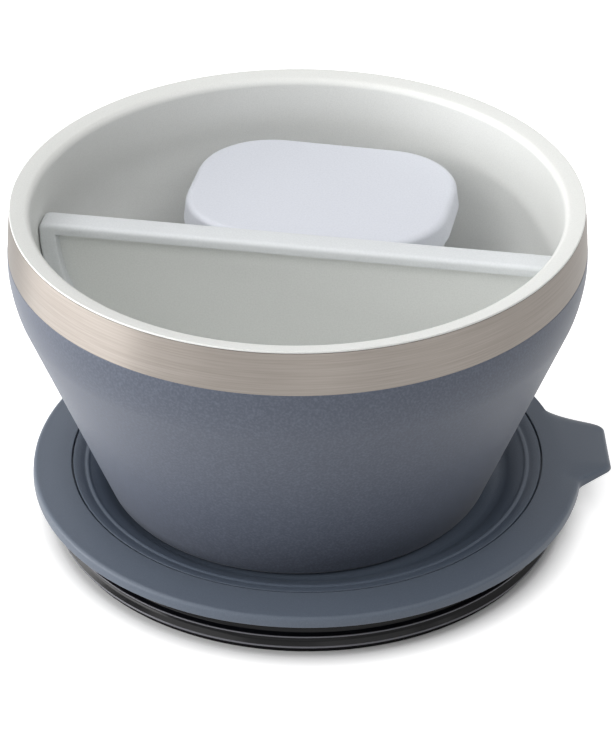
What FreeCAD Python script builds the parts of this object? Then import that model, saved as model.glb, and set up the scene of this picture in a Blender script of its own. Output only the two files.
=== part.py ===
"""Insulated steel bowl with divider, sauce cup and lid, standing in the recess of its own lid.

Millimetres, +Z up. The origin is on the bowl's axis, on the floor that the lid rests on,
and +X runs along the divider. The bowl, divider and cup are drawn from the bowl's own foot,
and the lid's pieces from the floor, each on its own axis, and are then placed.
"""
import FreeCAD, Part
import math
import os
import re

import Sketcher

SIZES = {
    # Bowl: the outside of the double wall.
    "bowl_height": 106.4,  # foot to crest of the lip
    "lip_radius": 92.8,  # outer radius of the rolled lip
    "lip_width": 5.6,  # width of the rolled lip
    "bulge_swell": 2.6,  # how far the bulge stands out beyond the lip
    "bulge_drop": 20.2,  # crest of the lip down to the largest radius
    "shoulder_arc": 40,  # radius of the curve from the slanted wall into the bulge
    "foot_inset": 30.5,  # outside of the lip in to the edge of the bowl's flat foot
    "foot_corner": 3.5,  # radius of the corner between foot and wall
    "band_drop": 16.3,  # crest of the lip down to the coat's upper edge
    "gauge": 0.9,  # thickness of the steel sheet
    # Bowl: the inside.
    "cavity_floor": 9.2,  # foot up to the cavity's floor
    "cavity_drop": 21.2,  # crest of the lip down to where the cavity stops widening
    "cavity_arc": 54.9,  # radius of the cavity's shoulder curve
    "cavity_corner": 14,  # radius between the cavity's floor and wall
    # Bowl: the closed base.
    "foot_ring": 5.3,  # width of the flat ring that the shell's foot turns in
    "plate_lap": 4.5,  # how far the base plate lies on the shell's foot
    "plate_rise": 1.5,  # height of the base plate's raised middle
    "plate_margin": 8.5,  # width of the base plate inside the foot, round its raised middle
    "plate_slope": 1.6,  # width of the slope up to the base plate's raised middle
    "cap_gap": 1.2,  # gap round the base cap
    "cap_gauge": 0.8,  # thickness of the base cap
    "cap_bead_inset": 11.3,  # edge of the base cap in to its stiffening bead
    "cap_bead_width": 3,  # width of the stiffening bead in the base cap
    "cap_bead_depth": 0.4,  # depth of the stiffening bead in the base cap
    "dimple_radius": 4.5,  # radius of the dimple round the vacuum port
    "dimple_depth": 1.2,  # depth of the dimple round the vacuum port
    "port_radius": 0.8,  # radius of the vacuum port
    "bead_depth": 0.9,  # thickness of the glass bead in the dimple
    "getter_radius": 5,  # radius of the getter pill
    "getter_height": 2,  # height of the getter pill
    "getter_inset": 18.5,  # edge of the base plate's raised middle in to the getter pill
    # Lid: rigid dish.
    "crown_height": 20.2,  # floor up to the highest ring of the lid
    "recess_depth": 5.4,  # that ring down to the recess that the bowl stands in
    "recess_room": 4.4,  # how much wider the recess floor is than the bowl's foot
    "recess_step": 3.3,  # height of the wall round the recess floor
    "recess_draft": 0.8,  # how far that wall leans out
    "brim_width": 4.3,  # width of the brim, inside the groove
    "brim_fall": 0.7,  # fall of the brim from the groove to its inner edge
    "brim_bead_width": 1.4,  # width of the raised bead along the brim's inner edge
    "brim_bead_height": 0.5,  # height of that bead
    "groove_inset": 3.2,  # skirt's outside in to the groove between dish and flange
    "groove_width": 0.6,  # width of that groove
    "dish_wall": 2.4,  # thickness of the dish
    "tongue_reach": 4,  # how far the tongue inside the flange stands out beyond the skirt
    "tongue_wall": 1.5,  # thickness of the tongue
    "skirt_gap": 3.2,  # the bowl's mouth in to the dish's skirt, for the seal
    "skirt_wall": 2.5,  # thickness of the skirt
    "recess_gap": 3.05,  # how far the bowl stands from the middle of the lid
    "recess_bearing": 10.2,  # degrees of that offset from the divider's direction
    # Lid: soft flange with its pull tab.
    "flange_overhang": 1.4,  # how far the flange stands out beyond the bowl's lip
    "flange_depth": 4.3,  # height of the flange
    "flange_fall": 0.5,  # fall of the flange's top from the groove to its edge
    "flange_draft": 0.4,  # how far the flange's edge leans in
    "flange_round": 1.7,  # rounding of the flange's upper edge
    "tab_bearing": 16.8,  # degrees from the divider's direction to the pull tab
    "tab_length": 11.8,  # how far the tab stands out beyond the flange
    "tab_tip": 13.2,  # half the tab's width at its end
    "tab_taper": 29,  # degrees that each side of the tab leans
    "tab_corner": 4.8,  # radius of the tab's end corners
    "tab_root": 8,  # radius of the hollow curves where the tab leaves the flange
    "tab_wall": 2.4,  # thickness of the tab
    "tab_drop": 2.6,  # crest of the flange down to the tab's top, at the flange's edge
    "tab_droop": 17,  # degrees that the tab hangs down
    "tab_inset": 1.5,  # how far the tab starts outside the dish's tongue
    # Lid: seal.
    "seal_wall": 1.8,  # thickness of the seal's outer wall
    "seal_foot": 1.5,  # thickness of the seal under the skirt
    "seal_cuff": 1.2,  # thickness of the seal's inner wall
    "seal_cuff_height": 4,  # height of the seal's inner wall
    "lower_rib": 2.9,  # floor up to the lower rib
    "lower_rib_squeeze": 0.8,  # how much wider the lower rib is than the bowl's mouth
    "upper_rib": 7,  # floor up to the upper rib
    "upper_rib_squeeze": 0.3,  # how much wider the upper rib is than the bowl's mouth
    "rib_root": 2.6,  # thickness of a rib at its root
    "rib_tip": 0.9,  # thickness of a rib at its edge
    # Divider.
    "divider_clearance": 0.3,  # gap between divider and bowl
    "divider_drop": 16.6,  # crest of the lip down to the divider's top
    "divider_width": 9.7,  # thickness of the divider's frame
    "divider_border": 6,  # width of the frame along wall and floor
    "divider_head": 4,  # height of the frame along its top
    "divider_corner": 2.4,  # radius of the frame's top corners
    "divider_edge": 1.8,  # rounding of the frame's edges
    "panel_wall": 2.1,  # thickness of the divider's panel
    "panel_tongue": 2.5,  # how deep the panel sits in the frame
    # Sauce cup and its lid.
    "cup_shift": 1.2,  # middle of the cup along the divider
    "cup_turn": -1.5,  # degrees that the cup stands turned from the divider's direction
    "cup_drop": 19.4,  # crest of the lip down to the cup lid's top
    "cup_clearance": 0.3,  # gap between the cup and the bowl's wall
    "cup_lid_length": 91.6,  # length of the cup lid at its skirt
    "cup_divider_gap": 0.8,  # gap between the middle of the cup lid's front and the divider
    "cup_lid_corner": 26,  # corner radius of the cup lid
    "cup_lid_depth": 8,  # height of the cup lid
    "cup_lid_wall": 1.8,  # thickness of the cup lid
    "cup_lid_taper": 7,  # degrees that the cup lid's skirt leans in
    "cup_lid_edge": 2.2,  # rounding of the cup lid's upper edge
    "lid_clearance": 0.15,  # gap between the cup's rim and its lid
    "cup_rim_height": 4,  # height of the cup's upright rim
    "cup_depth": 53,  # height of the cup
    "cup_wall": 1.8,  # thickness of the cup's wall and floor
    "cup_taper": 5.6,  # degrees that the cup's wall leans in towards its base
    "cup_base_round": 5,  # rounding between the cup's base and wall
}

doc = FreeCAD.newDocument("InsulatedBowl")
sheet = doc.addObject("Spreadsheet::Sheet", "Sizes")
for row, (name, millimetres) in enumerate(SIZES.items(), 1):
    sheet.set(f"A{row}", name)
    sheet.set(f"B{row}", str(millimetres))
    sheet.setAlias(f"B{row}", name)
doc.recompute()

SIZE_WORD = re.compile(r"\b(" + "|".join(SIZES) + r")\b")


def value(formula):
    """The number that a formula of size names gives."""
    return float(sheet.evalExpression(formula))


def bound(formula):
    """The same formula, as another object of the document writes it."""
    return SIZE_WORD.sub(r"Sizes.\1", formula)


def minus(first, second):
    return f"({first}) - ({second})"


def new_body(label):
    body = doc.addObject("PartDesign::Body", label)
    body.Label = label
    return body


def origin_feature(body, role):
    return next(item for item in body.Origin.OriginFeatures if item.Role == role)


def new_sketch(body, name, plane="XZ_Plane"):
    sketch = body.newObject("Sketcher::SketchObject", name)
    sketch.AttachmentSupport = [(origin_feature(body, plane), "")]
    sketch.MapMode = "FlatFace"
    return sketch


def dimension(sketch, kind, *where, formula):
    """Add one dimension and bind it to its formula."""
    unit = "1 deg * " if kind == "Angle" else ""
    start = math.radians(value(formula)) if kind == "Angle" else value(formula)
    index = sketch.addConstraint(Sketcher.Constraint(kind, *where, start))
    sketch.setExpression(f"Constraints[{index}]", f"{unit}({bound(formula)})")


def relate(sketch, kind, *where):
    sketch.addConstraint(Sketcher.Constraint(kind, *where))


def pin(sketch, geometry, end, across=None, up=None):
    """Hold a point at its distance across and up from the sketch's origin."""
    if across == "0":
        relate(sketch, "PointOnObject", geometry, end, -2)
    elif across is not None:
        dimension(sketch, "DistanceX", -1, 1, geometry, end, formula=across)
    if up == "0":
        relate(sketch, "PointOnObject", geometry, end, -1)
    elif up is not None:
        dimension(sketch, "DistanceY", -1, 1, geometry, end, formula=up)


def line(sketch, start, end):
    return sketch.addGeometry(Part.LineSegment(FreeCAD.Vector(*start, 0), FreeCAD.Vector(*end, 0)))


def arc(sketch, centre, radius, first, last):
    """A counter-clockwise arc between two angles in degrees."""
    circle = Part.Circle(FreeCAD.Vector(*centre, 0), FreeCAD.Vector(0, 0, 1), radius)
    return sketch.addGeometry(Part.ArcOfCircle(circle, math.radians(first), math.radians(last)))


def outline(sketch, corners):
    """A closed outline of straight edges through corners given as pairs of formulas."""
    points = [(value(across), value(up)) for across, up in corners]
    first = [line(sketch, points[k], points[(k + 1) % len(points)]) for k in range(len(points))]
    for k, (across, up) in enumerate(corners):
        relate(sketch, "Coincident", first[k], 2, first[(k + 1) % len(first)], 1)
        pin(sketch, first[k], 1, across, up)


def revolve(body, sketch, name, kind="Revolution"):
    """Turn a sketch fully round the body's axis, to add (Revolution) or to cut (Groove)."""
    feature = body.newObject(f"PartDesign::{kind}", name)
    feature.Profile = sketch
    feature.ReferenceAxis = (sketch, ["V_Axis"])
    feature.Angle = 360
    doc.recompute()
    return feature


def extrude(body, sketch, name, length=None, kind="Pad"):
    """Pad or pocket a sketch evenly to both sides of its plane, or cut right through."""
    feature = body.newObject(f"PartDesign::{kind}", name)
    feature.Profile = sketch
    if length is None:
        feature.Type = "ThroughAll"
    else:
        feature.setExpression("Length", bound(length))
    feature.Midplane = True
    doc.recompute()
    return feature


def round_edges(body, name, radius, wanted):
    """Round the edges of the body that a test picks."""
    base = body.Tip
    edges = [f"Edge{k + 1}" for k, edge in enumerate(base.Shape.Edges) if wanted(edge)]
    fillet = body.newObject("PartDesign::Fillet", name)
    fillet.Base = (base, edges)
    fillet.setExpression("Radius", bound(radius))
    doc.recompute()
    return fillet


def ring_at(*places):
    """A test for round edges about the axis, at pairs of radius and height formulas."""
    wanted = [(value(radius), value(height)) for radius, height in places]

    def test(edge):
        if not isinstance(edge.Curve, Part.Circle) or edge.Length < 1:
            return False
        radius, height = edge.Curve.Radius, edge.Curve.Center.z
        return any(math.hypot(radius - r, height - z) < 0.01 for r, z in wanted)

    return test


def place(body, across="0", deep="0", up="0", turn=None):
    """Bind the body's place to the sheet."""
    for axis, formula in (("x", across), ("y", deep), ("z", up)):
        body.setExpression(f".Placement.Base.{axis}", bound(formula))
    if turn is not None:
        body.Placement.Rotation = FreeCAD.Rotation(FreeCAD.Vector(0, 0, 1), value(turn))
        body.setExpression(".Placement.Rotation.Angle", f"1 deg * ({bound(turn)})")


# ---------------------------------------------------------------------------
# The two walls of the bowl. Both have a flat floor, a corner arc, a slanted
# wall, a shoulder arc and a rim stretch; an inset moves all of them inwards.
# ---------------------------------------------------------------------------

LIP_BASE = "(bowl_height - lip_width / 2)"
MOUTH = "(lip_radius - lip_width)"
BULGE = "(lip_radius + bulge_swell)"
LIP_RISE = "(bulge_drop - lip_width / 2)"
# Both walls lean out by the tilt of the line that touches the shell's foot corner and shoulder.
LEAN_BACK = "(shoulder_arc - bulge_swell - foot_inset)"
LEAN_RISE = "(bowl_height - bulge_drop - foot_corner)"
WALL_TILT = (
    f"((asin((shoulder_arc - foot_corner) / hypot({LEAN_BACK}; {LEAN_RISE}))"
    f" - atan({LEAN_BACK} / {LEAN_RISE})) / 1 deg)"
)

SHELL = {
    "floor": "0",
    "corner": "foot_corner",
    "arc": "shoulder_arc",
    "radius": BULGE,
    "height": "(bowl_height - bulge_drop)",
    "rim_arc": f"(({LIP_RISE} * {LIP_RISE} + bulge_swell * bulge_swell) / (2 * bulge_swell))",
}
CAVITY = {
    "floor": "cavity_floor",
    "corner": "cavity_corner",
    "arc": "cavity_arc",
    "radius": MOUTH,
    "height": "(bowl_height - cavity_drop)",
    "rim_arc": None,
}


def wall_radius(wall, height):
    """Formula for the radius of a wall's slanted stretch at a height."""
    return (
        f"({wall['radius']} - {wall['arc']} + {wall['arc']} / cos({WALL_TILT})"
        f" - ({wall['height']} - ({height})) * tan({WALL_TILT}))"
    )


def floor_edge(wall):
    """Formula for the radius where a wall's flat floor meets its corner arc."""
    return (
        f"({wall['radius']} - {wall['arc']} + ({wall['arc']} - {wall['corner']}"
        f" - ({wall['height']} - {wall['floor']} - {wall['corner']}) * sin({WALL_TILT})) / cos({WALL_TILT}))"
    )


def wall_path(sketch, wall, inset, start, top):
    """Draw a wall from its floor at the start radius up to the top. Gives its two end edges."""
    tilt, step = value(WALL_TILT), value(inset)
    floor = value(wall["floor"])
    corner, shoulder = value(wall["corner"]), value(wall["arc"])
    middle = (value(minus(wall["radius"], wall["arc"])), value(wall["height"]))
    foot = (value(floor_edge(wall)), floor + corner)

    base = line(sketch, (value(start), floor + step), (foot[0], floor + step))
    bend = arc(sketch, foot, corner - step, -90, -tilt)
    slant_from = sketch.getPoint(bend, 2)
    bow = arc(sketch, middle, shoulder - step, -tilt, 0)
    slant_to = sketch.getPoint(bow, 1)
    slant = line(sketch, (slant_from.x, slant_from.y), (slant_to.x, slant_to.y))

    pin(sketch, base, 1, start, f"{wall['floor']} + {inset}")
    relate(sketch, "Horizontal", base)
    relate(sketch, "Tangent", base, 2, bend, 1)
    dimension(sketch, "Radius", bend, formula=minus(wall["corner"], inset))
    relate(sketch, "Tangent", bend, 2, slant, 1)
    dimension(sketch, "Angle", slant, formula=f"90 - {WALL_TILT}")
    relate(sketch, "Tangent", slant, 2, bow, 1)
    pin(sketch, bow, 3, minus(wall["radius"], wall["arc"]), wall["height"])
    dimension(sketch, "Radius", bow, formula=minus(wall["arc"], inset))

    widest = value(wall["radius"]) - step
    if wall["rim_arc"] is None:
        rim = line(sketch, (widest, middle[1]), (widest, value(top)))
        relate(sketch, "Vertical", rim)
    else:
        rim_arc = value(wall["rim_arc"])
        end = math.degrees(math.asin((value(top) - middle[1]) / (rim_arc - step)))
        rim = arc(sketch, (widest + step - rim_arc, middle[1]), rim_arc - step, 0, end)
        dimension(sketch, "Radius", rim, formula=minus(wall["rim_arc"], inset))
        pin(sketch, rim, 3, None, wall["height"])
    relate(sketch, "Tangent", bow, 2, rim, 1)
    pin(sketch, rim, 2, None, top)
    return base, rim


def filled_wall(body, name, wall, inset, top):
    """A sketch of all that lies inside a wall, closed along the axis."""
    sketch = new_sketch(body, name)
    base, rim = wall_path(sketch, wall, inset, "0", top)
    end = sketch.getPoint(rim, 2)
    lid_line = line(sketch, (end.x, end.y), (0, end.y))
    axis_line = line(sketch, (0, end.y), (0, value(f"{wall['floor']} + {inset}")))
    relate(sketch, "Coincident", rim, 2, lid_line, 1)
    relate(sketch, "Horizontal", lid_line)
    relate(sketch, "Coincident", lid_line, 2, axis_line, 1)
    relate(sketch, "PointOnObject", axis_line, 1, -2)
    relate(sketch, "Coincident", axis_line, 2, base, 1)
    return sketch


FOOT_EDGE = "(lip_radius - foot_inset)"
FOOT_OPENING = f"({FOOT_EDGE} - foot_ring)"
PLATE_STEP = f"({FOOT_OPENING} - plate_margin)"
PLATE_EDGE = f"({FOOT_OPENING} + plate_lap)"
PLATE_UNDERSIDE = "(gauge + plate_rise)"
DIMPLE_ROOF = f"({PLATE_UNDERSIDE} + dimple_depth)"
RECESS_FLOOR = "(crown_height - recess_depth)"


def inner_liner():
    """Deep-drawn inner bowl whose edge is rolled outwards and down into the round lip."""
    body = new_body("inner_liner")
    outside = filled_wall(body, "liner_outside", CAVITY, "-gauge", LIP_BASE)
    revolve(body, outside, "liner_blank")
    inside = filled_wall(body, "liner_inside", CAVITY, "0", "bowl_height")
    revolve(body, inside, "liner_cavity", "Groove")

    lip = new_sketch(body, "lip_section")
    centre = (value(f"{MOUTH} + lip_width / 2"), value(LIP_BASE))
    outer = arc(lip, centre, value("lip_width / 2"), 0, 180)
    inner = arc(lip, centre, value("lip_width / 2 - gauge"), 0, 180)
    for curve, radius in ((outer, "lip_width / 2"), (inner, "lip_width / 2 - gauge")):
        pin(lip, curve, 3, f"{MOUTH} + lip_width / 2", LIP_BASE)
        dimension(lip, "Radius", curve, formula=radius)
        pin(lip, curve, 1, None, LIP_BASE)
        pin(lip, curve, 2, None, LIP_BASE)
    for end in (1, 2):
        a, b = lip.getPoint(outer, end), lip.getPoint(inner, end)
        edge = line(lip, (a.x, a.y), (b.x, b.y))
        relate(lip, "Coincident", edge, 1, outer, end)
        relate(lip, "Coincident", edge, 2, inner, end)
    revolve(body, lip, "rolled_lip")
    place(body, up=RECESS_FLOOR)
    return body


def rim_band():
    """Bare brushed ring that joins the coated shell to the lip."""
    body = new_body("rim_band")
    section = new_sketch(body, "band_section")
    bottom, top = "bowl_height - band_drop", LIP_BASE
    across = minus(SHELL["radius"], SHELL["rim_arc"])
    curves = []
    for inset in ("0", "gauge"):
        radius = value(minus(SHELL["rim_arc"], inset))
        first, last = (
            math.degrees(math.asin((value(end) - value(SHELL["height"])) / radius)) for end in (bottom, top)
        )
        curve = arc(section, (value(across), value(SHELL["height"])), radius, first, last)
        pin(section, curve, 3, across, SHELL["height"])
        dimension(section, "Radius", curve, formula=minus(SHELL["rim_arc"], inset))
        pin(section, curve, 1, None, bottom)
        pin(section, curve, 2, None, top)
        curves.append(curve)
    for end in (1, 2):
        a, b = (section.getPoint(curve, end) for curve in curves)
        edge = line(section, (a.x, a.y), (b.x, b.y))
        relate(section, "Coincident", edge, 1, curves[0], end)
        relate(section, "Coincident", edge, 2, curves[1], end)
    revolve(body, section, "band_ring")
    place(body, up=RECESS_FLOOR)
    return body


def outer_shell():
    """Powder-coated outer wall, turned in at the foot round the base plate."""
    body = new_body("outer_shell")
    section = new_sketch(body, "shell_section")
    top = "bowl_height - band_drop"
    paths = [wall_path(section, SHELL, inset, FOOT_OPENING, top) for inset in ("0", "gauge")]
    for which, end in ((0, 1), (1, 2)):
        outer, inner = paths[0][which], paths[1][which]
        a, b = section.getPoint(outer, end), section.getPoint(inner, end)
        edge = line(section, (a.x, a.y), (b.x, b.y))
        relate(section, "Coincident", edge, 1, outer, end)
        relate(section, "Coincident", edge, 2, inner, end)
    revolve(body, section, "shell_wall")
    place(body, up=RECESS_FLOOR)
    return body


def base_plate():
    """Pressed disc that closes the vacuum space, raised in the middle round the port's dimple."""
    body = new_body("base_plate")
    section = new_sketch(body, "plate_section")
    outline(section, [
        ("port_radius", DIMPLE_ROOF),
        ("dimple_radius", DIMPLE_ROOF),
        ("dimple_radius", PLATE_UNDERSIDE),
        (PLATE_STEP, PLATE_UNDERSIDE),
        (f"{PLATE_STEP} + plate_slope", "gauge"),
        (PLATE_EDGE, "gauge"),
        (PLATE_EDGE, "2 * gauge"),
        (f"{PLATE_STEP} + plate_slope + gauge / 2", "2 * gauge"),
        (f"{PLATE_STEP} + gauge / 2", f"{PLATE_UNDERSIDE} + gauge"),
        ("dimple_radius + gauge", f"{PLATE_UNDERSIDE} + gauge"),
        ("dimple_radius + gauge", f"{DIMPLE_ROOF} + gauge"),
        ("port_radius", f"{DIMPLE_ROOF} + gauge"),
    ])
    revolve(body, section, "plate_disc")
    place(body, up=RECESS_FLOOR)
    return body


def base_cap():
    """Thin steel disc fixed under the base plate, over the vacuum port."""
    body = new_body("base_cap")
    section = new_sketch(body, "cap_section")
    edge = f"({PLATE_STEP} - cap_gap)"
    inner, outer = (f"{edge} - cap_bead_inset {sign} cap_bead_width / 2" for sign in "-+")
    under = f"{PLATE_UNDERSIDE} - cap_gauge"
    outline(section, [
        ("0", PLATE_UNDERSIDE),
        ("0", under),
        (inner, under),
        (f"{inner} + cap_bead_depth", f"{under} - cap_bead_depth"),
        (f"{outer} - cap_bead_depth", f"{under} - cap_bead_depth"),
        (outer, under),
        (edge, under),
        (edge, PLATE_UNDERSIDE),
    ])
    revolve(body, section, "cap_disc")
    place(body, up=RECESS_FLOOR)
    return body


def port_seal():
    """Glass bead melted into the dimple, which plugs the vacuum port."""
    body = new_body("port_seal")
    section = new_sketch(body, "bead_section")
    outline(section, [
        ("0", f"{DIMPLE_ROOF} - bead_depth"),
        ("dimple_radius", f"{DIMPLE_ROOF} - bead_depth"),
        ("dimple_radius", DIMPLE_ROOF),
        ("port_radius", DIMPLE_ROOF),
        ("port_radius", f"{DIMPLE_ROOF} + gauge"),
        ("0", f"{DIMPLE_ROOF} + gauge"),
    ])
    revolve(body, section, "bead_plug")
    place(body, up=RECESS_FLOOR)
    return body


def getter():
    """Gas-absorbing pill fixed to the base plate inside the vacuum space."""
    body = new_body("getter")
    section = new_sketch(body, "pill_section")
    outline(section, [("0", "0"), ("getter_radius", "0"), ("getter_radius", "getter_height"),
                      ("0", "getter_height")])
    revolve(body, section, "pill")
    round_edges(body, "pill_edge", "getter_height / 4", ring_at(("getter_radius", "getter_height")))
    place(body, f"{PLATE_STEP} - getter_inset", "0", f"{RECESS_FLOOR} + {PLATE_UNDERSIDE} + gauge")
    return body


# ---------------------------------------------------------------------------
# The lid under the bowl.
# ---------------------------------------------------------------------------

TONGUE_BOTTOM = "(crown_height - dish_wall - tongue_wall / 2)"
TONGUE_TOP = "(crown_height - dish_wall + tongue_wall / 2)"
SKIRT = f"({MOUTH} - skirt_gap)"
SKIRT_INSIDE = f"({SKIRT} - skirt_wall)"
TONGUE = f"({SKIRT} + tongue_reach)"
GROOVE_OUTSIDE = f"({SKIRT} - groove_inset + groove_width / 2)"
GROOVE_INSIDE = f"({GROOVE_OUTSIDE} - groove_width)"
BRIM = f"({GROOVE_INSIDE} - brim_width)"
BRIM_HEIGHT = "(crown_height - brim_fall)"
RECESS = f"({FOOT_EDGE} + foot_corner + recess_room)"
RECESS_EDGE = f"({RECESS} + recess_draft)"
RECESS_LEDGE = f"({RECESS_FLOOR} + recess_step)"
FLANGE = "(lip_radius + flange_overhang)"
FLANGE_BOTTOM = "(crown_height - flange_depth)"
TAB_END = f"({FLANGE} + tab_length)"
TAB_CORNER_UP = "(tab_tip - tab_corner * (1 - sin(tab_taper)) / cos(tab_taper))"


def place_lid_piece(body, turn=None):
    """Put a piece on the lid's axis: the bowl stands a little off the middle of the lid."""
    place(body, "recess_gap * cos(recess_bearing)", "recess_gap * sin(recess_bearing)", "0", turn)


def lid_dish():
    """Rigid middle of the lid: recess, sloping side, brim, tongue for the flange, and skirt."""
    body = new_body("lid_dish")
    section = new_sketch(body, "dish_section")
    outline(section, [
        ("0", RECESS_FLOOR),
        (RECESS, RECESS_FLOOR),
        (RECESS_EDGE, RECESS_LEDGE),
        (BRIM, f"{BRIM_HEIGHT} + brim_bead_height"),
        (f"{BRIM} + brim_bead_width", f"{BRIM_HEIGHT} + brim_bead_height"),
        (f"{BRIM} + brim_bead_width", BRIM_HEIGHT),
        (GROOVE_INSIDE, "crown_height"),
        (GROOVE_INSIDE, TONGUE_TOP),
        (TONGUE, TONGUE_TOP),
        (TONGUE, TONGUE_BOTTOM),
        (SKIRT, TONGUE_BOTTOM),
        (SKIRT, "seal_foot"),
        (SKIRT_INSIDE, "seal_foot"),
        (SKIRT_INSIDE, f"{BRIM_HEIGHT} - dish_wall"),
        (f"{BRIM} + dish_wall / 4", f"{BRIM_HEIGHT} - dish_wall"),
        (f"{RECESS_EDGE} + dish_wall / 4", f"{RECESS_LEDGE} - dish_wall"),
        (f"{RECESS} + dish_wall / 4", f"{RECESS_FLOOR} - dish_wall"),
        ("0", f"{RECESS_FLOOR} - dish_wall"),
    ])
    revolve(body, section, "dish")
    bead_top = f"{BRIM_HEIGHT} + brim_bead_height"
    round_edges(body, "brim_bead", "brim_bead_height * 0.9",
                ring_at((BRIM, bead_top), (f"{BRIM} + brim_bead_width", bead_top)))
    round_edges(body, "recess_edge", "dish_wall / 2", ring_at((RECESS_EDGE, RECESS_LEDGE)))
    place_lid_piece(body)
    return body


def half_tab(sketch, ring):
    """Half of the pull tab beside its middle line, with its edges measured from the flange's rim.

    A round end corner, a side that leans in, and a hollow curve that runs into the flange's rim.
    """
    rim, lean = value(ring), math.radians(value("tab_taper"))
    corner, root = value("tab_corner"), value("tab_root")
    reach, inside = value(TAB_END), value(f"{TONGUE} + tab_inset")
    corner_up = value(TAB_CORNER_UP)
    side_normal = (math.sin(lean), math.cos(lean))
    tip_centre = (reach - corner, corner_up)
    # The hollow curve touches the leaning side and the rim, so its centre is a known way from both.
    offset = tip_centre[0] * side_normal[0] + tip_centre[1] * side_normal[1] + corner + root
    along = math.sqrt((rim + root) ** 2 - offset ** 2)
    hollow_centre = (
        offset * side_normal[0] + along * side_normal[1],
        offset * side_normal[1] - along * side_normal[0],
    )
    bearing = math.degrees(math.atan2(hollow_centre[1], hollow_centre[0]))
    taper = math.degrees(lean)

    def from_rim(point):
        return point[0] - rim, point[1]

    def join(first, first_end, second, second_end, smooth=False):
        relate(sketch, "Tangent" if smooth else "Coincident", first, first_end, second, second_end)

    tip = arc(sketch, from_rim(tip_centre), corner, 0, 90 - taper)
    hollow = arc(sketch, from_rim(hollow_centre), root, 180 + bearing, 270 - taper)
    tip_top, hollow_rim, hollow_side = (
        sketch.getPoint(tip, 2), sketch.getPoint(hollow, 1), sketch.getPoint(hollow, 2)
    )
    middle = line(sketch, (inside - rim, 0), (reach - rim, 0))
    end = line(sketch, (reach - rim, 0), (reach - rim, corner_up))
    side = line(sketch, (tip_top.x, tip_top.y), (hollow_side.x, hollow_side.y))
    run_in = line(sketch, (hollow_rim.x, hollow_rim.y), (inside - rim, hollow_rim.y))
    back = line(sketch, (inside - rim, hollow_rim.y), (inside - rim, 0))
    rim_circle = sketch.addGeometry(
        Part.Circle(FreeCAD.Vector(-rim, 0, 0), FreeCAD.Vector(0, 0, 1), rim), True)

    pin(sketch, rim_circle, 3, f"0 - ({ring})", "0")
    dimension(sketch, "Radius", rim_circle, formula=ring)
    pin(sketch, middle, 1, f"{TONGUE} + tab_inset - ({ring})", "0")
    pin(sketch, middle, 2, f"{TAB_END} - ({ring})", "0")
    join(middle, 2, end, 1)
    relate(sketch, "Vertical", end)
    pin(sketch, end, 2, None, TAB_CORNER_UP)
    join(end, 2, tip, 1, smooth=True)
    dimension(sketch, "Radius", tip, formula="tab_corner")
    join(tip, 2, side, 1, smooth=True)
    dimension(sketch, "Angle", side, formula="180 - tab_taper")
    join(side, 2, hollow, 2, smooth=True)
    dimension(sketch, "Radius", hollow, formula="tab_root")
    relate(sketch, "Tangent", rim_circle, hollow)
    spoke = line(sketch, (-rim, 0), from_rim(hollow_centre))
    sketch.toggleConstruction(spoke)
    join(spoke, 1, rim_circle, 3)
    join(spoke, 2, hollow, 3)
    relate(sketch, "PointOnObject", hollow, 1, spoke)
    join(hollow, 1, run_in, 1)
    relate(sketch, "Horizontal", run_in)
    join(run_in, 2, back, 1)
    relate(sketch, "Vertical", back)
    join(back, 2, middle, 1)


def lid_flange():
    """Soft ring moulded round the dish's tongue, with a pull tab that hangs down a little."""
    body = new_body("lid_flange")
    section = new_sketch(body, "flange_section")
    edge_top = "crown_height - flange_fall"
    outline(section, [
        (GROOVE_OUTSIDE, "crown_height"),
        (f"{FLANGE} - flange_draft", edge_top),
        (FLANGE, FLANGE_BOTTOM),
        (SKIRT, FLANGE_BOTTOM),
        (SKIRT, TONGUE_BOTTOM),
        (TONGUE, TONGUE_BOTTOM),
        (TONGUE, TONGUE_TOP),
        (GROOVE_OUTSIDE, TONGUE_TOP),
    ])
    revolve(body, section, "flange_ring")
    round_edges(body, "flange_edge", "flange_round", ring_at((f"{FLANGE} - flange_draft", edge_top)))

    rim = f"{FLANGE} - flange_draft"
    sketch = new_sketch(body, "tab_half", "XY_Plane")
    sketch.AttachmentOffset = FreeCAD.Placement(
        FreeCAD.Vector(), FreeCAD.Rotation(FreeCAD.Vector(0, 1, 0), value("tab_droop")))
    sketch.setExpression("AttachmentOffset.Rotation.Angle", f"1 deg * {bound('tab_droop')}")
    sketch.setExpression("AttachmentOffset.Base.x", bound(rim))
    sketch.setExpression("AttachmentOffset.Base.z", bound("crown_height - tab_drop"))
    half_tab(sketch, rim)
    half = body.newObject("PartDesign::Pad", "tab_pad")
    half.Profile = sketch
    half.Reversed = True
    half.setExpression("Length", bound("tab_wall"))
    doc.recompute()
    mirror_across(body, half, "tab_pair", "XZ_Plane")
    place_lid_piece(body, "tab_bearing")
    return body


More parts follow.
